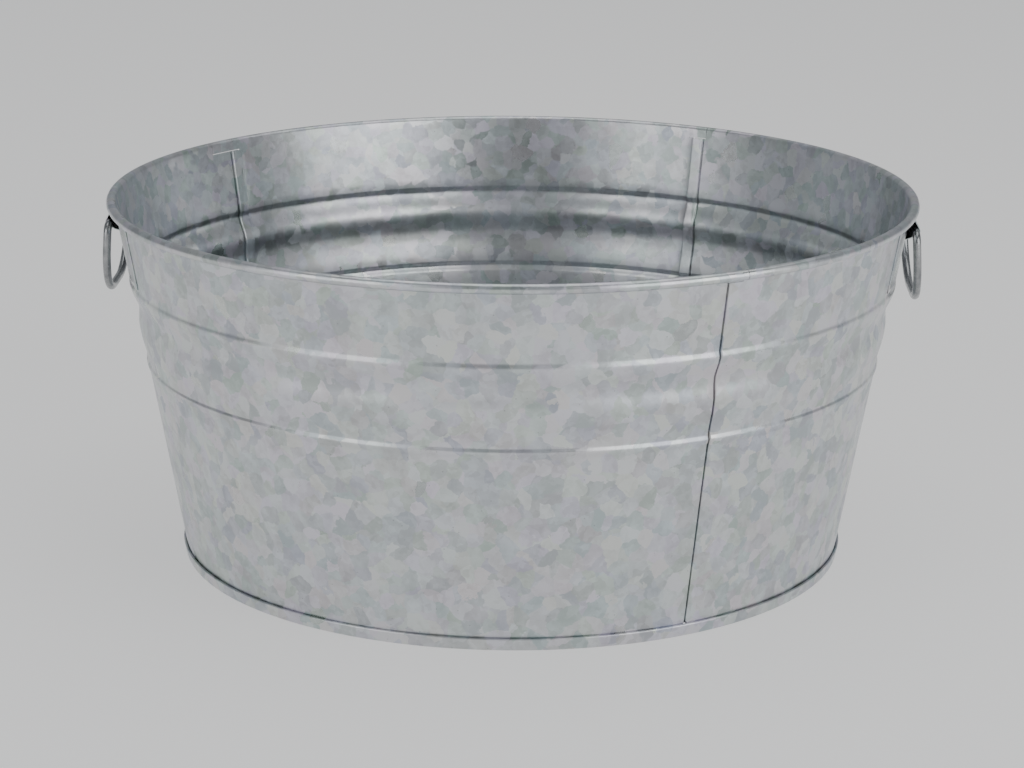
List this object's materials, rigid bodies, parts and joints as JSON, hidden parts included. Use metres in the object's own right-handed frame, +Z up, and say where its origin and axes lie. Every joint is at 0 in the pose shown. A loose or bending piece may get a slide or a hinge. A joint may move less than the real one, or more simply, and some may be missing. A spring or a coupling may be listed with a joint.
{
  "type": "galvanized tub",
  "caption": "Round galvanized steel wash tub with a wired rim, rolled beads, folded wall seams, a double-seamed bottom and two drop ring handles hung in embossed ears",
  "frame": {"origin": "middle of the bottom seam, on the floor", "axes": "+Z up, the two handles at +X and -X, the side that the picture shows towards -Y"},
  "size_m": [0.6024, 0.6, 0.2715],
  "materials": {
    "zinc_sheet": "hot-dip galvanized steel with a mottled spangle, satin",
    "plain_wire": "drawn steel wire, hidden in the rim roll",
    "handle_wire": "galvanized wire, smooth and darker than the sheet"
  },
  "bodies": {
    "tub": {"front_wall_sheet": "zinc_sheet", "right_wall_sheet": "zinc_sheet", "back_wall_sheet": "zinc_sheet", "rim_wire": "plain_wire", "bottom_pan": "zinc_sheet", "left_ear": "zinc_sheet", "right_ear": "zinc_sheet"},
    "left_ring": {"left_handle": "handle_wire"},
    "right_ring": {"right_handle": "handle_wire"}
  },
  "joints": [
    {"name": "left_ring_hinge", "type": "hinge", "parent": "tub", "child": "left_ring", "pos_m": [-0.29483, 0, 0.2515], "axis": [0, 1, 0], "range_deg": [-15, 160]},
    {"name": "right_ring_hinge", "type": "hinge", "parent": "tub", "child": "right_ring", "pos_m": [0.29483, 0, 0.2515], "axis": [0, -1, 0], "range_deg": [-15, 160]}
  ]
}
